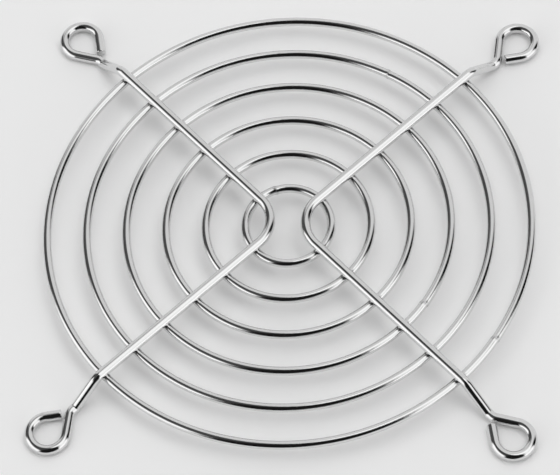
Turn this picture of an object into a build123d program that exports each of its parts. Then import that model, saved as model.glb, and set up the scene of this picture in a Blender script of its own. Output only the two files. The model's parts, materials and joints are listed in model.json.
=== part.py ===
from build123d import *
import os
from math import atan, cos, degrees, pi, radians, sin, sqrt, tan

# Wire fan guard: concentric rings welded under two V-shaped support wires, each with two eyes.
# Origin in the middle of the guard, on the plane that it is screwed down to, with +Z towards its front.

# Fastening, in millimetres
hole_spacing = 71.5            # square hole pattern of an 80 mm fan
eye_bore = 4.3                 # clears an M4 screw
eye_set = 0.1                  # depth of the flat that the forming pin leaves inside an eye
left_neck_angle = 40.0         # degrees that a support's left leg, seen from its V, turns aside to its eye
right_neck_angle = 32.0        # the same on its right leg
tail_angle = 34.0              # degrees between a leg and the straight at the cut end of its eye
eye_gap = 0.2                  # between an eye's cut end and the neck beside it

# Wire
ring_wire = 1.4                # diameter of the ring wire
support_wire = 1.6             # diameter of the support wire
weld_set_down = 0.2            # how far welding sinks a support into a ring
cut_end_round = 0.15           # edge of the sheared ends, rounded by tumbling

# Rings, from the largest to the smallest
ring_names = ["outer_ring", "second_ring", "third_ring", "fourth_ring", "fifth_ring", "centre_ring"]
eye_reach = 12.25              # from the outer ring's mid-wire to a screw's centre, along the diagonal
centre_ring_diameter = 13.6    # mid-wire
ring_lift = 2.3                # underside of the rings above the mounting plane

# Supports, with bends measured at mid-wire
vee_offset = 0.5               # where the lines of a V's legs meet, from the middle of the guard
vee_straight = 0.9             # straight leg inside the centre ring's mid-wire, before the V bends
joggle_straight = 0.8          # straight leg outside the outer ring's mid-wire, before it bends down
joggle_top_radius = 2.0
joggle_foot_radius = 1.1
neck_straight = 0.2            # level wire between the joggle and the bend into the eye
neck_bend_radius = 1.6

# Heights of the mid-wires
eye_height = support_wire / 2
ring_height = ring_lift + ring_wire / 2
leg_height = ring_height + (ring_wire + support_wire) / 2 - weld_set_down

# Sizes that follow
diagonal = radians(45)         # the hole pattern is square, so the legs run at 45 degrees
eye_distance = hole_spacing / sqrt(2)
outer_ring_radius = eye_distance - eye_reach
centre_ring_radius = centre_ring_diameter / 2
ring_pitch = (outer_ring_radius - centre_ring_radius) / (len(ring_names) - 1)
eye_radius = (eye_bore + support_wire) / 2 - eye_set
left_leg = (diagonal, radians(left_neck_angle))       # direction of the leg, and turn of its neck
right_leg = (-diagonal, radians(right_neck_angle))


def bend_setback(turn, radius):
    """Length that a bend takes from each of the two straight runs that it joins."""
    return radius * tan(turn / 2)


def joggle_slope(run, drop):
    """Slope of a straight that steps down by drop within run, from a bend at its top to one at its foot."""
    bends = joggle_top_radius + joggle_foot_radius
    return 2 * atan(drop / (run + sqrt(run**2 - drop * (2 * bends - drop))))


def leg_frame(turn):
    """Function that places a point in the eye plane: along a leg, and across it, from its eye's centre."""
    along = Vector(cos(turn), sin(turn))
    across = Vector(-sin(turn), cos(turn))
    centre = along * eye_distance + Vector(0, 0, eye_height)
    return lambda u, v=0: centre + along * u + across * v


def leg_crossing(ring_radius):
    """Distance from the corner of a V, along a leg, to the mid-wire of a ring."""
    return sqrt(ring_radius**2 - (vee_offset * sin(diagonal)) ** 2) - vee_offset * cos(diagonal)


def leg_points(turn, neck_turn):
    """Corners of one leg: top and foot of the joggle, neck, and where the eye's round begins."""
    place = leg_frame(turn)
    across = -vee_offset * sin(turn)
    vee_corner = vee_offset * cos(turn) - eye_distance
    neck = -(eye_radius - across * cos(neck_turn)) / sin(neck_turn)
    bend_from = vee_corner + leg_crossing(outer_ring_radius) + joggle_straight
    bend_to = neck - bend_setback(neck_turn, neck_bend_radius) - neck_straight
    drop = leg_height - eye_height
    slope = joggle_slope(bend_to - bend_from, drop)
    return [
        place(bend_from + bend_setback(slope, joggle_top_radius), across) + Vector(0, 0, drop),
        place(bend_to - bend_setback(slope, joggle_foot_radius), across),
        place(neck, across),
        place(-eye_radius * sin(neck_turn), eye_radius * cos(neck_turn)),
    ]


def eye_loop(turn, neck_turn):
    """Round of one eye, clockwise seen from the front, and the straight that ends beside the neck."""
    opening = neck_turn + radians(tail_angle)
    start = turn + pi / 2 + neck_turn
    loop = CenterArc(leg_frame(turn)(0), eye_radius, degrees(start), -degrees(pi + opening))
    short_of_neck = (eye_gap + support_wire / 2 * (1 + cos(opening))) / sin(opening)
    straight = eye_radius / tan(opening / 2) - short_of_neck
    return [loop, Line(loop @ 1, loop @ 1 + loop % 1 * straight)]


def make_support():
    """One wire, swept from the cut end of one eye, through the V, to the cut end of the other eye."""
    corner = Vector(vee_offset, 0, leg_height)
    vee_bend_radius = leg_crossing(centre_ring_radius) - vee_straight
    bends = [neck_bend_radius, joggle_foot_radius, joggle_top_radius]
    middle = FilletPolyline(
        *leg_points(*left_leg)[::-1],
        corner,
        *leg_points(*right_leg),
        radius=bends + [vee_bend_radius] + bends[::-1],
    )
    path = Wire(eye_loop(*left_leg) + middle.edges() + eye_loop(*right_leg))
    wire = sweep(Plane(origin=path @ 0, z_dir=path % 0) * Circle(support_wire / 2), path=path)
    cut_ends = wire.faces().filter_by(GeomType.PLANE)
    wire = fillet(cut_ends.edges(), cut_end_round)
    for turn in (diagonal, -diagonal):
        wire -= Pos(leg_frame(turn)(0)) * Cylinder(eye_bore / 2, 2 * support_wire)
    return wire


def make_ring(radius, supports):
    """Ring of round wire, with a saddle at each weld where a support has sunk into it."""
    ring = Pos(0, 0, ring_height) * Torus(radius, ring_wire / 2)
    for support in supports:
        ring -= support
    return ring


right_support = make_support()
left_support = Rot(0, 0, 180) * right_support
solids = {"right_support": right_support, "left_support": left_support}
for index, name in enumerate(ring_names):
    solids[name] = make_ring(outer_ring_radius - index * ring_pitch, (right_support, left_support))

os.makedirs("parts", exist_ok=True)
for name, solid in solids.items():
    export_step(solid, f"parts/{name}.step")
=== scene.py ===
"""Wire fan guard of bright plated steel wire, on a pale studio table.

Laid out as an add-on and run as a script. The solids are loaded as a fixed frame, and the sizes
read from them are the defaults of the properties. Each operator makes one group of pieces around
that frame, in metres.
"""

import json
from math import atan, atan2, cos, pi, radians, sin, sqrt, tan
from typing import NamedTuple

import bpy
import numpy as np
from bpy.props import FloatProperty, PointerProperty, StringProperty
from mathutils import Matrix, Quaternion, Vector


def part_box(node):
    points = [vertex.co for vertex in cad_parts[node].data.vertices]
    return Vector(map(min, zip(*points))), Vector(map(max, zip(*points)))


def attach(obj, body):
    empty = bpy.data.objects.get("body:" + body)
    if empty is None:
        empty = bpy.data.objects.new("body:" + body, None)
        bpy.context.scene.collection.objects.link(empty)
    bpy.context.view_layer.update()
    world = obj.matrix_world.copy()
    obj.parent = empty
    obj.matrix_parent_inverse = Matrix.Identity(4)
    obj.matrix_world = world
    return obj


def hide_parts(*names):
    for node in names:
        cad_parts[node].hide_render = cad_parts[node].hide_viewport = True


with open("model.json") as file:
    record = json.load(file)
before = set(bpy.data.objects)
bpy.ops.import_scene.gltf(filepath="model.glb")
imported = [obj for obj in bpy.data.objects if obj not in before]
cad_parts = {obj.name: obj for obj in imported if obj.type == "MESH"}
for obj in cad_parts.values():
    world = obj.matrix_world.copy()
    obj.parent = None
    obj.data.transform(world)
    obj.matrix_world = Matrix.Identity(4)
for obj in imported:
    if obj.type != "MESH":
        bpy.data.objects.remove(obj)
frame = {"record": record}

bl_info = {
    "name": "Wire fan guard",
    "version": (1, 0, 0),
    "blender": (4, 5, 0),
    "location": "View3D > Sidebar > Fan guard",
    "description": "Makes a plated wire fan guard, with its rings, supports and studio",
    "category": "Mesh",
}

MM = 0.001
UP = np.array([0.0, 0.0, 1.0])
DIAGONAL = pi / 4              # the hole pattern is square, so the legs run at 45 degrees
BODY = "root"                  # the guard is welded up, so everything rides on one body
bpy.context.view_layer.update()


# What the guard is made of

class RingPlan(NamedTuple):
    """A ring's node, and the direction of its butt joint from the middle, in degrees from +X."""

    node: str
    joint: float


# From the largest ring to the smallest. The joints of the fourth and fifth rings are under a leg.
RINGS = (
    RingPlan("outer_ring", -31.2),
    RingPlan("second_ring", 61.9),
    RingPlan("third_ring", -32.5),
    RingPlan("fourth_ring", 45.0),
    RingPlan("fifth_ring", -45.0),
    RingPlan("centre_ring", 109.5),
)


class SupportPlan(NamedTuple):
    """A support's node, and the turn about the guard's axis that places it, in degrees."""

    node: str
    turn: float


SUPPORTS = (SupportPlan("right_support", 0.0), SupportPlan("left_support", 180.0))

SCREW_EYES = frame["record"]["mounts"][0]
RING_LOW, RING_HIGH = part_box("outer_ring")
SUPPORT_LOW, SUPPORT_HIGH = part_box("right_support")
RING_WIRE = round(RING_HIGH.z - RING_LOW.z, 5)         # to a hundredth of a millimetre
SUPPORT_WIRE = 2 * SCREW_EYES["pos_m"][2]
EYE_PLACE = SCREW_EYES["dims"]["spacing_x_mm"] / 2 * MM
EYE_BORE = 2 * SCREW_EYES["dims"]["hole_r_mm"] * MM


# What stands round the table

class StudioPanel(NamedTuple):
    """A softbox, card or curtain: its place, its reach and soft edges in degrees, and its light.

    Azimuth is 0 in front of the guard, at -Y, and 90 on its right. A slope tilts the top and
    bottom edges, in degrees of elevation for each degree of azimuth.
    """

    azimuth: float
    half_width: float
    side_edge: float
    elevation: float
    half_height: float
    top_edge: float
    radiance: float
    slope: float = 0.0


LEFT_SOFTBOX = StudioPanel(
    azimuth=-66, half_width=33, side_edge=7,
    elevation=10, half_height=33, top_edge=11, slope=-0.17, radiance=1.34,
)
RIGHT_SOFTBOX = StudioPanel(
    azimuth=65, half_width=22, side_edge=3,
    elevation=7, half_height=24, top_edge=7, slope=-0.07, radiance=1.34,
)
RIGHT_CURTAIN = StudioPanel(
    azimuth=71, half_width=22, side_edge=6,
    elevation=22, half_height=35, top_edge=6, radiance=1.1,
)
BACK_WALL = StudioPanel(
    azimuth=161, half_width=41, side_edge=7,
    elevation=45, half_height=55, top_edge=4, radiance=0.78,
)
LEFT_WALL = StudioPanel(
    azimuth=-150, half_width=14, side_edge=8,
    elevation=12, half_height=37, top_edge=15, radiance=0.75,
)
CEILING = StudioPanel(
    azimuth=127, half_width=68, side_edge=10,
    elevation=85, half_height=28, top_edge=10, slope=0.17, radiance=1.23,
)
FRONT_CARD = StudioPanel(
    azimuth=24, half_width=21, side_edge=5,
    elevation=-4, half_height=14, top_edge=9, slope=0.36, radiance=0.68,
)
LEFT_SHADE = StudioPanel(
    azimuth=-105, half_width=72, side_edge=12,
    elevation=50, half_height=60, top_edge=10, radiance=0.075,
)
STUDIO_PANELS = (
    LEFT_SOFTBOX, RIGHT_SOFTBOX, RIGHT_CURTAIN, BACK_WALL,
    LEFT_WALL, CEILING, FRONT_CARD, LEFT_SHADE,
)
BASE_LIGHT = 0.011             # radiance of the dark room between the panels

TABLE_HALF = 3.0               # metres from the middle of the table to its sides
FILL_SIZE = 1.2                # side of the square lamp, in metres
FILL_PLACE = Vector((-0.08, 0.06, 0.8))
SENSOR_WIDTH = 36.0            # millimetres
IMAGE_WIDTH = 560              # pixels, for the camera's lens
CLIP_START = 0.01              # metres


# Properties

def length(name, description, default):
    """Property for a length in metres."""
    return FloatProperty(
        name=name, description=description, default=default, min=0.0, precision=5, unit="LENGTH"
    )


def angle(name, description, degrees):
    """Property for an angle that is written in degrees."""
    return FloatProperty(
        name=name, description=description, default=radians(degrees), unit="ROTATION"
    )


def factor(name, description, default):
    """Property for a share from 0 to 1."""
    return FloatProperty(
        name=name, description=description, default=default, min=0.0, max=1.0, subtype="FACTOR"
    )


def colour(name, description, default):
    """Property for a colour that is written in sRGB hex."""
    return StringProperty(name=name, description=f"{description}, sRGB hex", default=default)


class GuardSizes(bpy.types.PropertyGroup):
    """Sizes of the wires, their bends and their welds."""

    ring_wire: length("Ring wire", "Diameter of the ring wire", RING_WIRE)
    ring_height: length(
        "Ring height", "Mid-wire of the rings above the table", RING_LOW.z + RING_WIRE / 2
    )
    support_wire: length("Support wire", "Diameter of the support wire", SUPPORT_WIRE)
    leg_height: length(
        "Leg height", "Mid-wire of the legs above the table", SUPPORT_HIGH.z - SUPPORT_WIRE / 2
    )
    eye_place: length(
        "Eye place", "Centre of an eye from the middle of the guard, along X and Y", EYE_PLACE
    )
    eye_bore: length("Eye bore", "Bore that the forming pin leaves", EYE_BORE)
    eye_radius: length(
        "Eye radius", "Mid-wire of an eye", SUPPORT_HIGH.x - EYE_PLACE - SUPPORT_WIRE / 2
    )
    left_neck: angle(
        "Left neck", "Turn aside to its eye of a support's left leg, seen from its V", 40.0
    )
    right_neck: angle("Right neck", "The same on its right leg", 32.0)
    tail: angle("Eye tail", "Angle between a leg and the straight at the end of its eye", 34.0)
    eye_gap: length("Eye gap", "Gap between an eye's cut end and the neck beside it", 0.2 * MM)
    cut_round: length("Cut end", "Rounding of the sheared ends", 0.15 * MM)
    vee_offset: length(
        "V offset", "Where the lines of a V's legs meet, from the middle of the guard", 0.5 * MM
    )
    vee_tip: length(
        "V tip", "Mid-wire of a V's tip from the guard's middle", SUPPORT_LOW.x + SUPPORT_WIRE / 2
    )
    joggle_straight: length(
        "Joggle straight", "Straight leg outside the outer ring, before it bends down", 0.8 * MM
    )
    joggle_top: length("Joggle top", "Bend radius at the top of a joggle, at mid-wire", 2.0 * MM)
    joggle_foot: length("Joggle foot", "Bend radius at its foot, at mid-wire", 1.1 * MM)
    neck_straight: length(
        "Neck straight", "Level wire between a joggle and the bend into the eye", 0.2 * MM
    )
    neck_bend: length("Neck bend", "Bend radius of an eye's neck, at mid-wire", 1.6 * MM)
    flash_height: length("Weld flash", "Metal pressed up beside a support at a weld", 0.22 * MM)
    flash_reach: length("Flash reach", "How far along a wire a weld reaches", 0.75 * MM)
    joint_collar: length(
        "Butt joint", "Height of the collar where a ring's ends are welded", 0.035 * MM
    )
    joint_reach: length("Joint reach", "Length of that collar to each side", 0.28 * MM)
    joint_offset: length("Joint offset", "How far a ring's two ends miss each other", 0.08 * MM)


class PlatingLook(bpy.types.PropertyGroup):
    """Finish of the plated wire."""

    tint: colour("Tint", "Colour of the plating", "E0E0E0")
    # Greyer plating on the welds: partly the weld's own mark, partly painted shade where the wires
    # cross.
    weld_and_shade_tint: colour("Weld tint", "Colour of the plating on a weld", "CECECE")
    roughness: factor("Roughness", "Roughness of the bright plating", 0.08)
    dull: factor("Dull places", "Roughness where the plating is dull", 0.15)


class StudioLook(bpy.types.PropertyGroup):
    """Table, lights and camera."""

    table_tint: colour("Table", "Colour of the table", "F8F8F8")
    azimuth: angle("Azimuth", "Camera's turn to the right of the front", 8.764)
    elevation: angle("Elevation", "Camera's height above the table, as an angle", 60.693)
    roll: angle("Roll", "Camera's turn about its own line of sight", -7.181)
    distance: length("Distance", "Camera from the point that it aims at", 496.05 * MM)
    aim_x: FloatProperty(
        name="Aim X", description="X of the camera's aim", default=-1.226 * MM, unit="LENGTH"
    )
    aim_y: FloatProperty(
        name="Aim Y", description="Y of the camera's aim", default=-2.161 * MM, unit="LENGTH"
    )
    focal_pixels: FloatProperty(
        name="Focal length", description="Camera's focal length in pixels", default=3145.0
    )
    fill: FloatProperty(
        name="Fill lamp", description="Power of the overhead lamp", default=3.8, unit="POWER"
    )


class FanGuard(bpy.types.PropertyGroup):
    """Everything that a user would change."""

    sizes: PointerProperty(type=GuardSizes)
    plating: PointerProperty(type=PlatingLook)
    studio: PointerProperty(type=StudioLook)


# Paths of the wires

STRAIGHT_STEP = 0.2 * MM       # between the points of a straight or a ring
BEND_STEP = 0.08 * MM          # between the points of a bend


def unit(vector):
    """A vector shortened or stretched to length 1."""
    return vector / np.linalg.norm(vector)


def straight_run(start, end):
    """Points and headings of a straight: start + t (end - start), with t from 0 to just under 1."""
    count = max(2, round(np.linalg.norm(end - start) / STRAIGHT_STEP))
    share = np.arange(count)[:, None] / count
    return start + share * (end - start), np.tile(unit(end - start), (count, 1))


def round_bend(start, heading, inward, radius, turn):
    """Points and headings of an arc, with the angle a from 0 to just under turn.

    A point is start + radius (sin a heading + (1 - cos a) inward).
    """
    count = max(3, round(radius * turn / BEND_STEP))
    a = np.arange(count)[:, None] / count * turn
    points = start + radius * (np.sin(a) * heading + (1 - np.cos(a)) * inward)
    return points, np.cos(a) * heading + np.sin(a) * inward


def bent_wire(corners, radii):
    """Pieces of a wire that runs straight from corner to corner, with an arc in each.

    An arc begins and ends at its radius times the tangent of half its turn from the corner.
    """
    pieces = []
    last = corners[0]
    for before, corner, after, radius in zip(corners, corners[1:], corners[2:], radii):
        heading = unit(corner - before)
        leaving = unit(after - corner)
        turn = np.arccos(np.clip(heading @ leaving, -1, 1))
        setback = radius * tan(turn / 2)
        start = corner - setback * heading
        inward = unit(leaving - (leaving @ heading) * heading)
        pieces.append(straight_run(last, start))
        pieces.append(round_bend(start, heading, inward, radius, turn))
        last = corner + setback * leaving
    pieces.append(straight_run(last, corners[-1]))
    return pieces


def ring_radius(sizes, node):
    """Mid-wire radius of a ring: its solid's reach, less half a wire."""
    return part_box(node)[1].x - sizes.ring_wire / 2


def leg_crossing(sizes, radius):
    """Distance from the corner of a V, along a leg, to a ring's mid-wire.

    It is where the leg's line meets the ring's circle.
    """
    offset = sizes.vee_offset
    return sqrt(radius**2 - (offset * sin(DIAGONAL)) ** 2) - offset * cos(DIAGONAL)


def leg_corners(sizes, turn, neck_turn):
    """Corners of one leg, and the centre of its eye.

    The corners are the top and foot of the joggle, the neck, and the start of the eye's round.
    They are placed along and across the leg's direction from the eye's centre. The neck is where
    the leg's line meets the straight side of the eye, which touches the eye's circle. The joggle's
    slope is the one whose straight, with a bend at its top and one at its foot, steps down by drop
    within run.
    """
    along = np.array([cos(turn), sin(turn), 0])
    across = np.cross(UP, along)
    wire = sizes.support_wire
    eye = sqrt(2) * sizes.eye_place * along + wire / 2 * UP
    aside = -sizes.vee_offset * sin(turn)
    vee_corner = sizes.vee_offset * cos(turn) - sqrt(2) * sizes.eye_place
    neck = -(sizes.eye_radius - aside * cos(neck_turn)) / sin(neck_turn)
    outer_ring = leg_crossing(sizes, ring_radius(sizes, RINGS[0].node))
    bend_from = vee_corner + outer_ring + sizes.joggle_straight
    bend_to = neck - sizes.neck_bend * tan(neck_turn / 2) - sizes.neck_straight
    drop = sizes.leg_height - wire / 2
    run = bend_to - bend_from
    bends = sizes.joggle_top + sizes.joggle_foot
    slope = 2 * atan(drop / (run + sqrt(run**2 - drop * (2 * bends - drop))))
    return [
        eye + along * (bend_from + sizes.joggle_top * tan(slope / 2)) + across * aside + UP * drop,
        eye + along * (bend_to - sizes.joggle_foot * tan(slope / 2)) + across * aside,
        eye + along * neck + across * aside,
        eye + sizes.eye_radius * (cos(neck_turn) * across - sin(neck_turn) * along),
        eye,
    ]


def eye_pieces(sizes, start, heading, eye, neck_turn):
    """Pieces of one eye, and the point and heading of its cut end.

    They are its round, clockwise seen from above, and the straight that ends beside the neck.
    """
    inward = unit(eye - start)
    opening = neck_turn + sizes.tail
    turn = pi + opening
    round_part = round_bend(start, heading, inward, sizes.eye_radius, turn)
    end = start + sizes.eye_radius * (sin(turn) * heading + (1 - cos(turn)) * inward)
    leaving = cos(turn) * heading + sin(turn) * inward
    short_of_neck = (sizes.eye_gap + sizes.support_wire / 2 * (1 + cos(opening))) / sin(opening)
    straight = sizes.eye_radius / tan(opening / 2) - short_of_neck
    cut = end + straight * leaving
    return [round_part, straight_run(end, cut)], (cut, leaving)


def support_path(sizes):
    """Points and headings of the right support's mid-wire, and its eyes' centres.

    The path runs from the cut end of the back eye, through the V, to that of the front eye.
    """
    *back, back_eye = leg_corners(sizes, DIAGONAL, sizes.left_neck)
    *front, front_eye = leg_corners(sizes, -DIAGONAL, sizes.right_neck)
    corner = np.array([sizes.vee_offset, 0, sizes.leg_height])
    vee_bend = (sizes.vee_tip - sizes.vee_offset) / (1 / cos(DIAGONAL) - 1)
    bends = [sizes.neck_bend, sizes.joggle_foot, sizes.joggle_top]
    middle = bent_wire([*back[::-1], corner, *front], [*bends, vee_bend, *bends[::-1]])
    heading = unit(back[-1] - back[-2])
    back_pieces, (cut, leaving) = eye_pieces(sizes, back[-1], heading, back_eye, sizes.left_neck)
    # The back eye was walked outwards, so it is turned round. Middle begins with its first point.
    points, headings = (np.concatenate(group) for group in zip(*back_pieces))
    points = np.concatenate([points, cut[None]])[:0:-1]
    headings = -np.concatenate([headings, leaving[None]])[:0:-1]
    heading = unit(front[-1] - front[-2])
    front_pieces, (cut, leaving) = eye_pieces(
        sizes, front[-1], heading, front_eye, sizes.right_neck
    )
    pieces = [(points, headings), *middle, *front_pieces, (cut[None], leaving[None])]
    points, headings = (np.concatenate(group) for group in zip(*pieces))
    return points, headings, (back_eye, front_eye)


# Surfaces of the wires

PROFILE_POINTS = 40            # round a wire
CUT_EDGE_POINTS = 6            # across the rounding of a cut end
CUT_FACE_RINGS = np.array([0.35, 0.7])     # on the flat of a cut end, as shares of its radius
CUT_END_REACH = 1.3            # roundings: nearer to a cut end, its own rows replace the path's
JOINT_FADE = 5                 # the miss at a butt joint fades over this many of its reaches


def around_wire():
    """Angles of the points round a wire, from its side, over its top."""
    return np.arange(PROFILE_POINTS) / PROFILE_POINTS * 2 * pi


def bell(distance, reach):
    """Bell curve: 1 at distance 0, and 1/e at reach."""
    return np.exp(-((distance / reach) ** 2))


def round_profile(points, headings, radius, around):
    """Round wire: point + radius (cos a side + sin a top), for each path point and each angle a.

    Side is level and square to the heading, and top is square to both. Radius is one number for
    each path point and angle.
    """
    side = np.cross(UP, headings)
    side = side / np.linalg.norm(side, axis=1, keepdims=True)
    top = np.cross(headings, side)
    sideways = np.cos(around)[None, :, None] * side[:, None]
    upwards = np.sin(around)[None, :, None] * top[:, None]
    return points[:, None] + radius[..., None] * (sideways + upwards)


def path_lengths(points):
    """Distance of each point of a path from its start, along the path."""
    steps = np.linalg.norm(np.diff(points, axis=0), axis=1)
    return np.concatenate([[0.0], np.cumsum(steps)])


def straightened_wire(lengths, radius, around):
    """The grid of a wire before it was bent: (r cos a, r sin a, length), in millimetres."""
    grid = np.empty((*radius.shape, 3))
    grid[..., 0] = radius * np.cos(around)
    grid[..., 1] = radius * np.sin(around)
    grid[..., 2] = lengths[:, None]
    return grid / MM


def wire_mesh(name, rows, closed, straightened, welded):
    """Mesh of a grid of rows round a wire.

    The last row joins the first if it is closed, and otherwise each end has a pole in its middle.
    The attribute drawn_wire is the place on the wire before it was bent, in millimetres, with Z
    along it. The attribute weld is 1 on a weld and 0 away from it; it dulls the plating there and
    greys it, the grey being partly the weld's own mark and partly painted shade.
    """
    count, width = rows.shape[:2]
    index = np.arange(count * width).reshape(count, width)
    turned = np.roll(index, -1, axis=1)
    ahead = np.roll(index, -1, axis=0)
    ahead_turned = np.roll(turned, -1, axis=0)
    quads = np.stack([index, turned, ahead_turned, ahead], axis=-1)
    vertices = rows.reshape(-1, 3)
    straightened = straightened.reshape(-1, 3)
    welded = np.broadcast_to(welded, (count, width)).ravel()
    faces = quads.reshape(-1, 4).tolist() if closed else quads[:-1].reshape(-1, 4).tolist()
    if not closed:
        poles = rows[[0, -1]].mean(axis=1)
        vertices = np.concatenate([vertices, poles])
        straightened = np.concatenate([straightened, straightened[[0, -1]] * [0, 0, 1]])
        welded = np.concatenate([welded, [0, 0]])
        start = np.full(width, count * width)
        faces += np.stack([start, turned[0], index[0]], axis=-1).tolist()
        faces += np.stack([start + 1, index[-1], turned[-1]], axis=-1).tolist()
    mesh = bpy.data.meshes.new(name)
    mesh.from_pydata(vertices.tolist(), [], faces)
    drawn = mesh.attributes.new("drawn_wire", "FLOAT_VECTOR", "POINT")
    drawn.data.foreach_set("vector", straightened.ravel())
    mesh.attributes.new("weld", "FLOAT", "POINT").data.foreach_set("value", welded)
    mesh.shade_smooth()
    mesh.validate()
    return mesh


def ring_mesh(sizes, plan):
    """Ring of round wire that begins and ends at its butt joint: a circle carried round a circle.

    The wire's radius grows towards each weld, by a bell curve of the distance along the ring times
    the sine of the angle round the wire, and at the joint by a bell curve of the distance. The two
    ends miss each other a little, one outwards and one inwards, which fades along the ring.
    """
    radius = ring_radius(sizes, plan.node)
    count = round(2 * pi * radius / STRAIGHT_STEP)
    walked = (np.arange(count) + 0.5) / count * 2 * pi
    direction = radians(plan.joint) + walked
    around = around_wire()
    outward = np.stack([np.cos(direction), np.sin(direction), np.zeros(count)], axis=1)
    from_joint = radius * np.minimum(walked, 2 * pi - walked)
    end_side = np.where(walked < pi, 1.0, -1.0)
    fading = np.exp(-from_joint / (JOINT_FADE * sizes.joint_reach))
    missed = end_side * sizes.joint_offset / 2 * fading
    points = outward * (radius + missed)[:, None] + UP * sizes.ring_height
    reach = leg_crossing(sizes, radius)
    crossing = atan2(reach * sin(DIAGONAL), sizes.vee_offset + reach * cos(DIAGONAL))
    crossings = np.array([crossing, -crossing, pi - crossing, pi + crossing])
    away = np.abs((direction[:, None] - crossings + pi) % (2 * pi) - pi).min(axis=1) * radius
    # Weld mask by each leg; it also greys the ring there, as painted shade of the leg above.
    welded = bell(away, sizes.flash_reach)[:, None]
    joined = bell(from_joint, sizes.joint_reach)[:, None]
    wire = sizes.ring_wire / 2 + sizes.joint_collar * joined
    wire = wire + sizes.flash_height * welded * np.clip(np.sin(around), 0, 1)
    rows = round_profile(points, np.cross(UP, outward), wire, around)
    straightened = straightened_wire(walked * radius, wire, around)
    return wire_mesh(plan.node, rows, True, straightened, np.maximum(welded, joined))


def cut_end(sizes):
    """Distances from a cut end, and shares of the wire's radius, of the rows that close it.

    The flat face has two rings of points, and its edge is a quarter circle.
    """
    edge = np.linspace(pi / 2, 0, CUT_EDGE_POINTS)
    share = sizes.cut_round / (sizes.support_wire / 2)
    face = (1 - share) * CUT_FACE_RINGS
    distances = np.concatenate([np.zeros(len(face)), sizes.cut_round * (1 - np.sin(edge))])
    return distances, np.concatenate([face, 1 - share * (1 - np.cos(edge))])


def with_cut_ends(sizes, points, headings):
    """A support's path, with the rows of its cut ends in place of its own points near them.

    Gives its points and headings, the share of the wire's radius there, and the distance along it.
    """
    lengths = path_lengths(points)
    distances, shares = cut_end(sizes)
    end_reach = CUT_END_REACH * sizes.cut_round
    inner = (lengths > end_reach) & (lengths < lengths[-1] - end_reach)
    first = points[0] + distances[:, None] * headings[0]
    last = (points[-1] - distances[:, None] * headings[-1])[::-1]
    ends = (len(distances), 1)
    return (
        np.concatenate([first, points[inner], last]),
        np.concatenate([np.tile(headings[0], ends), headings[inner], np.tile(headings[-1], ends)]),
        np.concatenate([shares, np.ones(inner.sum()), shares[::-1]]),
        np.concatenate([distances, lengths[inner], (lengths[-1] - distances)[::-1]]),
    )


def support_mesh(sizes, plan):
    """Support wire: a circle carried along its bent path, from cut end to cut end.

    Inside an eye, where the forming pin left a flat, a point that is nearer to the eye's axis than
    the bore is pushed out to the bore. The welds are on the underside: a bell curve of the path's
    distance from the nearest ring, times the sine of the angle below the wire's side. Their greyer
    plating is partly the weld's own mark and partly painted shade where the leg lies on a ring.
    """
    points, headings, eyes = support_path(sizes)
    path, heading, share, along = with_cut_ends(sizes, points, headings)
    around = around_wire()
    wire = np.repeat(share[:, None] * sizes.support_wire / 2, PROFILE_POINTS, axis=1)
    rows = round_profile(path, heading, wire, around)
    for eye in eyes:
        from_axis = rows[..., :2] - eye[:2]
        distance = np.linalg.norm(from_axis, axis=-1, keepdims=True)
        rows[..., :2] = eye[:2] + from_axis * np.maximum(1, sizes.eye_bore / 2 / distance)
    turn = radians(plan.turn)
    spin = np.array([[cos(turn), sin(turn), 0], [-sin(turn), cos(turn), 0], [0, 0, 1]])
    straightened = straightened_wire(along, wire, around)
    radii = np.array([ring_radius(sizes, ring.node) for ring in RINGS])
    away = np.abs(np.linalg.norm(path[:, :2], axis=1)[:, None] - radii).min(axis=1)
    # Weld mask on the underside; it also greys the leg there, as painted shade of the ring below.
    welded = bell(away, sizes.flash_reach)[:, None] * np.clip(-np.sin(around), 0, 1)
    return wire_mesh(plan.node, rows @ spin, False, straightened, welded)


# Materials

RING_LINES, RING_RIPPLE = 0.16, 1.3        # millimetres between drawing lines, and between ripples
SUPPORT_LINES, SUPPORT_RIPPLE = 0.2, 1.7
LINE_STRETCH = 50              # a drawing line runs on for this many times its width
LINE_DEPTH = 0.004 * MM
RIPPLE_DEPTH = 0.02 * MM
PATCH_RIPPLES = 6              # size of the dull patches, in ripples
WELD_DULLING = 0.12            # roughness that a weld adds
BOARD_TOOTH = 0.4 * MM
TOOTH_DEPTH = 0.01 * MM


def linear(hex_colour):
    """Linear RGBA of an sRGB hex colour."""
    share = np.array([int(hex_colour[i:i + 2], 16) for i in (0, 2, 4)]) / 255
    rgb = np.where(share <= 0.04045, share / 12.92, ((share + 0.055) / 1.055) ** 2.4)
    return (*rgb, 1.0)


def add(tree, kind, inputs=None, **settings):
    """Add a node with its settings. An input that is a socket is linked, and any other is set."""
    made = tree.nodes.new(kind)
    for key, value in settings.items():
        setattr(made, key, value)
    for key, value in (inputs or {}).items():
        if isinstance(value, bpy.types.NodeSocket):
            tree.links.new(value, made.inputs[key])
        else:
            made.inputs[key].default_value = value
    return made


def new_material(name):
    """Material with an empty node tree, and that tree."""
    material = bpy.data.materials.new(name)
    material.use_nodes = True
    material.node_tree.nodes.clear()
    return material, material.node_tree


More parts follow.
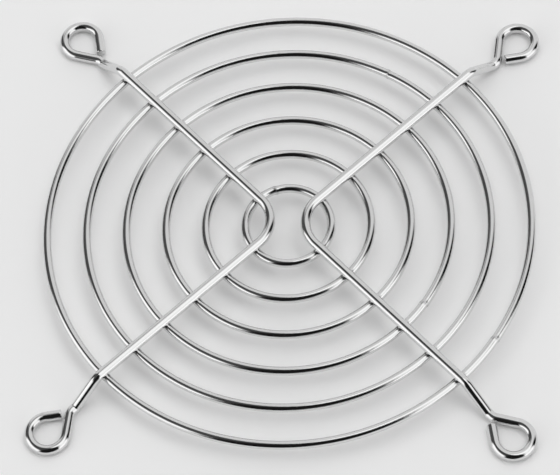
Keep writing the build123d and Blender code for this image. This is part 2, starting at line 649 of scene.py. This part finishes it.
def plated_steel(name, look, line_spacing, ripple):
    """Drawn steel wire, bright nickel and chrome plated.

    It mirrors the room in long bands along the wire. Drawing leaves fine lines along it, and the
    plating lies over them in a faint ripple, so the edges of the bands waver. On a weld the
    plating is duller and greyer; the grey is partly the weld's own mark and partly painted shade
    where the wires cross. Line spacing and ripple are in millimetres; real drawing lines are about
    a fifth as wide, and are drawn this coarse to show.
    """
    material, tree = new_material(name)
    place = add(tree, "ShaderNodeAttribute", attribute_name="drawn_wire").outputs["Vector"]
    weld = add(tree, "ShaderNodeAttribute", attribute_name="weld").outputs["Fac"]
    stretched = add(
        tree, "ShaderNodeMapping", {"Vector": place, "Scale": (1, 1, 1 / LINE_STRETCH)}
    ).outputs["Vector"]
    lines = add(
        tree, "ShaderNodeTexNoise", {"Vector": stretched, "Scale": 1 / line_spacing, "Detail": 3.0}
    )
    waves = add(tree, "ShaderNodeTexNoise", {"Vector": place, "Scale": 1 / ripple, "Detail": 1.0})
    patches = add(
        tree,
        "ShaderNodeTexNoise",
        {"Vector": place, "Scale": 1 / (PATCH_RIPPLES * ripple), "Detail": 4.0},
    )
    fine = add(
        tree,
        "ShaderNodeBump",
        {"Height": lines.outputs["Fac"], "Strength": 0.12, "Distance": LINE_DEPTH},
    )
    bump = add(
        tree,
        "ShaderNodeBump",
        {"Height": waves.outputs["Fac"], "Strength": 0.5, "Distance": RIPPLE_DEPTH,
         "Normal": fine.outputs["Normal"]},
    )
    dull = add(
        tree,
        "ShaderNodeMapRange",
        {"Value": patches.outputs["Fac"], "From Min": 0.35, "From Max": 0.75,
         "To Min": look.roughness, "To Max": look.dull},
    )
    rough = add(
        tree,
        "ShaderNodeMath",
        {0: weld, 1: WELD_DULLING, 2: dull.outputs["Result"]},
        operation="MULTIPLY_ADD",
    )
    # Greyer colour on a weld: partly the weld's own mark, partly painted shade where the wires
    # cross.
    tint = add(
        tree,
        "ShaderNodeMix",
        {"Factor": weld, "A": linear(look.tint), "B": linear(look.weld_and_shade_tint)},
        data_type="RGBA",
    )
    shader = add(
        tree,
        "ShaderNodeBsdfPrincipled",
        {"Base Color": tint.outputs["Result"], "Metallic": 1.0,
         "Roughness": rough.outputs["Value"], "Normal": bump.outputs["Normal"]},
    )
    add(tree, "ShaderNodeOutputMaterial", {"Surface": shader.outputs["BSDF"]})
    return material


def table_board(look):
    """Matte white laminate board: no gloss, and a fine tooth that only softens its shade."""
    material, tree = new_material("matte_white_board")
    place = add(tree, "ShaderNodeTexCoord").outputs["Object"]
    tooth = add(
        tree, "ShaderNodeTexNoise", {"Vector": place, "Scale": 1 / BOARD_TOOTH, "Detail": 2.0}
    )
    bump = add(
        tree,
        "ShaderNodeBump",
        {"Height": tooth.outputs["Fac"], "Strength": 0.1, "Distance": TOOTH_DEPTH},
    )
    shader = add(
        tree,
        "ShaderNodeBsdfPrincipled",
        {"Base Color": linear(look.table_tint), "Roughness": 0.9, "Specular IOR Level": 0.2,
         "Normal": bump.outputs["Normal"]},
    )
    add(tree, "ShaderNodeOutputMaterial", {"Surface": shader.outputs["BSDF"]})
    return material


# Studio

def panel_light(tree, azimuth, elevation, panel):
    """Light of one studio panel by direction: its radiance, falling to 0 across its soft edges."""
    turned = add(
        tree, "ShaderNodeMath", {0: azimuth, 1: radians(panel.azimuth)}, operation="SUBTRACT"
    ).outputs[0]
    wrapped = add(
        tree, "ShaderNodeMath", {0: turned, 1: pi, 2: -pi}, operation="WRAP"
    ).outputs[0]
    level = add(
        tree,
        "ShaderNodeMath",
        {0: wrapped, 1: -panel.slope, 2: elevation},
        operation="MULTIPLY_ADD",
    ).outputs[0]
    raised = add(
        tree, "ShaderNodeMath", {0: level, 1: radians(panel.elevation)}, operation="SUBTRACT"
    ).outputs[0]
    light = panel.radiance
    for distance, half, edge in (
        (wrapped, panel.half_width, panel.side_edge),
        (raised, panel.half_height, panel.top_edge),
    ):
        size = add(tree, "ShaderNodeMath", {0: distance}, operation="ABSOLUTE").outputs[0]
        share = add(
            tree,
            "ShaderNodeMapRange",
            {"Value": size, "From Min": radians(half - edge), "From Max": radians(half + edge),
             "To Min": 1.0, "To Max": 0.0},
            interpolation_type="SMOOTHSTEP",
        ).outputs["Result"]
        light = add(tree, "ShaderNodeMath", {0: share, 1: light}, operation="MULTIPLY").outputs[0]
    return light


def studio_world(world):
    """Studio round the table: panels with dark gaps between, which the wires show as bands.

    A direction has the light of the brightest panel there.
    """
    world.use_nodes = True
    tree = world.node_tree
    tree.nodes.clear()
    direction = add(tree, "ShaderNodeTexCoord").outputs["Generated"]
    axes = add(tree, "ShaderNodeSeparateXYZ", {"Vector": direction})
    forward = add(tree, "ShaderNodeMath", {0: axes.outputs["Y"], 1: -1.0}, operation="MULTIPLY")
    azimuth = add(
        tree, "ShaderNodeMath", {0: axes.outputs["X"], 1: forward.outputs[0]}, operation="ARCTAN2"
    ).outputs[0]
    elevation = add(tree, "ShaderNodeMath", {0: axes.outputs["Z"]}, operation="ARCSINE").outputs[0]
    light = BASE_LIGHT
    for panel in STUDIO_PANELS:
        shown = panel_light(tree, azimuth, elevation, panel)
        light = add(tree, "ShaderNodeMath", {0: shown, 1: light}, operation="MAXIMUM").outputs[0]
    background = add(tree, "ShaderNodeBackground", {"Color": (1, 1, 1, 1), "Strength": light})
    add(tree, "ShaderNodeOutputWorld", {"Surface": background.outputs["Background"]})


def make_table(scene, look):
    """Square table top at height 0, which the guard lies on."""
    near, far = -TABLE_HALF, TABLE_HALF
    corners = [(near, near, 0), (far, near, 0), (far, far, 0), (near, far, 0)]
    mesh = bpy.data.meshes.new("table")
    mesh.from_pydata(corners, [], [(0, 1, 2, 3)])
    mesh.materials.append(table_board(look))
    table = bpy.data.objects.new("table", mesh)
    scene.collection.objects.link(table)


def make_fill_lamp(scene, look):
    """Broad lamp overhead, aimed at the guard. It lights the table, and no wire mirrors it."""
    lamp = bpy.data.lights.new("fill_lamp", "AREA")
    lamp.size = FILL_SIZE
    lamp.energy = look.fill
    fill = bpy.data.objects.new("fill_lamp", lamp)
    fill.location = FILL_PLACE
    fill.rotation_mode = "QUATERNION"
    fill.rotation_quaternion = (-FILL_PLACE).to_track_quat("-Z", "Y")
    fill.visible_glossy = False
    scene.collection.objects.link(fill)


def make_camera(scene, look, aim_height):
    """Camera at a distance from its aim, turned by azimuth and elevation, and then rolled."""
    lens = bpy.data.cameras.new("camera")
    lens.sensor_width = SENSOR_WIDTH
    lens.lens = look.focal_pixels * SENSOR_WIDTH / IMAGE_WIDTH
    lens.clip_start = CLIP_START
    camera = bpy.data.objects.new("camera", lens)
    aim = Vector((look.aim_x, look.aim_y, aim_height))
    back = Vector((
        sin(look.azimuth) * cos(look.elevation),
        -cos(look.azimuth) * cos(look.elevation),
        sin(look.elevation),
    ))
    camera.location = aim + look.distance * back
    camera.rotation_mode = "QUATERNION"
    facing = (-back).to_track_quat("-Z", "Y")
    camera.rotation_quaternion = facing @ Quaternion((0, 0, 1), look.roll)
    scene.collection.objects.link(camera)
    scene.camera = camera


# Operators

def place_piece(node, mesh, material):
    """Link a finished piece that stands for a node, and let it ride on the guard."""
    mesh.materials.append(material)
    piece = bpy.data.objects.new(f"{node}_wire", mesh)
    bpy.context.scene.collection.objects.link(piece)
    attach(piece, BODY)
    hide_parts(node)


class MakeRings(bpy.types.Operator):
    """Make the six rings, with their weld flash and butt joints"""

    bl_idname = "fan_guard.make_rings"
    bl_label = "Make rings"

    def execute(self, context):
        guard = context.scene.fan_guard
        plating = plated_steel("plated_ring_wire", guard.plating, RING_LINES, RING_RIPPLE)
        for plan in RINGS:
            place_piece(plan.node, ring_mesh(guard.sizes, plan), plating)
        return {"FINISHED"}


class MakeSupports(bpy.types.Operator):
    """Make the two V-shaped supports, with their joggles and screw eyes"""

    bl_idname = "fan_guard.make_supports"
    bl_label = "Make supports"

    def execute(self, context):
        guard = context.scene.fan_guard
        plating = plated_steel("plated_support_wire", guard.plating, SUPPORT_LINES, SUPPORT_RIPPLE)
        for plan in SUPPORTS:
            place_piece(plan.node, support_mesh(guard.sizes, plan), plating)
        return {"FINISHED"}


class MakeStage(bpy.types.Operator):
    """Make the table, the studio light and the camera"""

    bl_idname = "fan_guard.make_stage"
    bl_label = "Make stage"

    def execute(self, context):
        scene = context.scene
        guard = scene.fan_guard
        make_table(scene, guard.studio)
        scene.world = scene.world or bpy.data.worlds.new("studio")
        studio_world(scene.world)
        make_fill_lamp(scene, guard.studio)
        make_camera(scene, guard.studio, guard.sizes.ring_height)
        scene.view_settings.view_transform = "Standard"
        return {"FINISHED"}


class GuardPanel(bpy.types.Panel):
    """Sidebar panel with the guard's operators and properties"""

    bl_idname = "FAN_GUARD_PT_panel"
    bl_label = "Wire fan guard"
    bl_space_type = "VIEW_3D"
    bl_region_type = "UI"
    bl_category = "Fan guard"

    def draw(self, context):
        guard = context.scene.fan_guard
        for group, operators in (
            (guard.sizes, (MakeRings, MakeSupports)),
            (guard.plating, ()),
            (guard.studio, (MakeStage,)),
        ):
            box = self.layout.box()
            for operator in operators:
                box.operator(operator.bl_idname)
            for name in group.__annotations__:
                box.prop(group, name)


CLASSES = (
    GuardSizes, PlatingLook, StudioLook, FanGuard, MakeRings, MakeSupports, MakeStage, GuardPanel,
)


def register():
    """Register the classes, and give each scene the guard's properties."""
    for cls in CLASSES:
        bpy.utils.register_class(cls)
    bpy.types.Scene.fan_guard = PointerProperty(type=FanGuard)


def unregister():
    """Take back what register did, in the opposite order."""
    del bpy.types.Scene.fan_guard
    for cls in reversed(CLASSES):
        bpy.utils.unregister_class(cls)


def main():
    """Make the guard and its stage."""
    register()
    bpy.ops.fan_guard.make_rings()
    bpy.ops.fan_guard.make_supports()
    bpy.ops.fan_guard.make_stage()


if __name__ == "__main__":
    main()
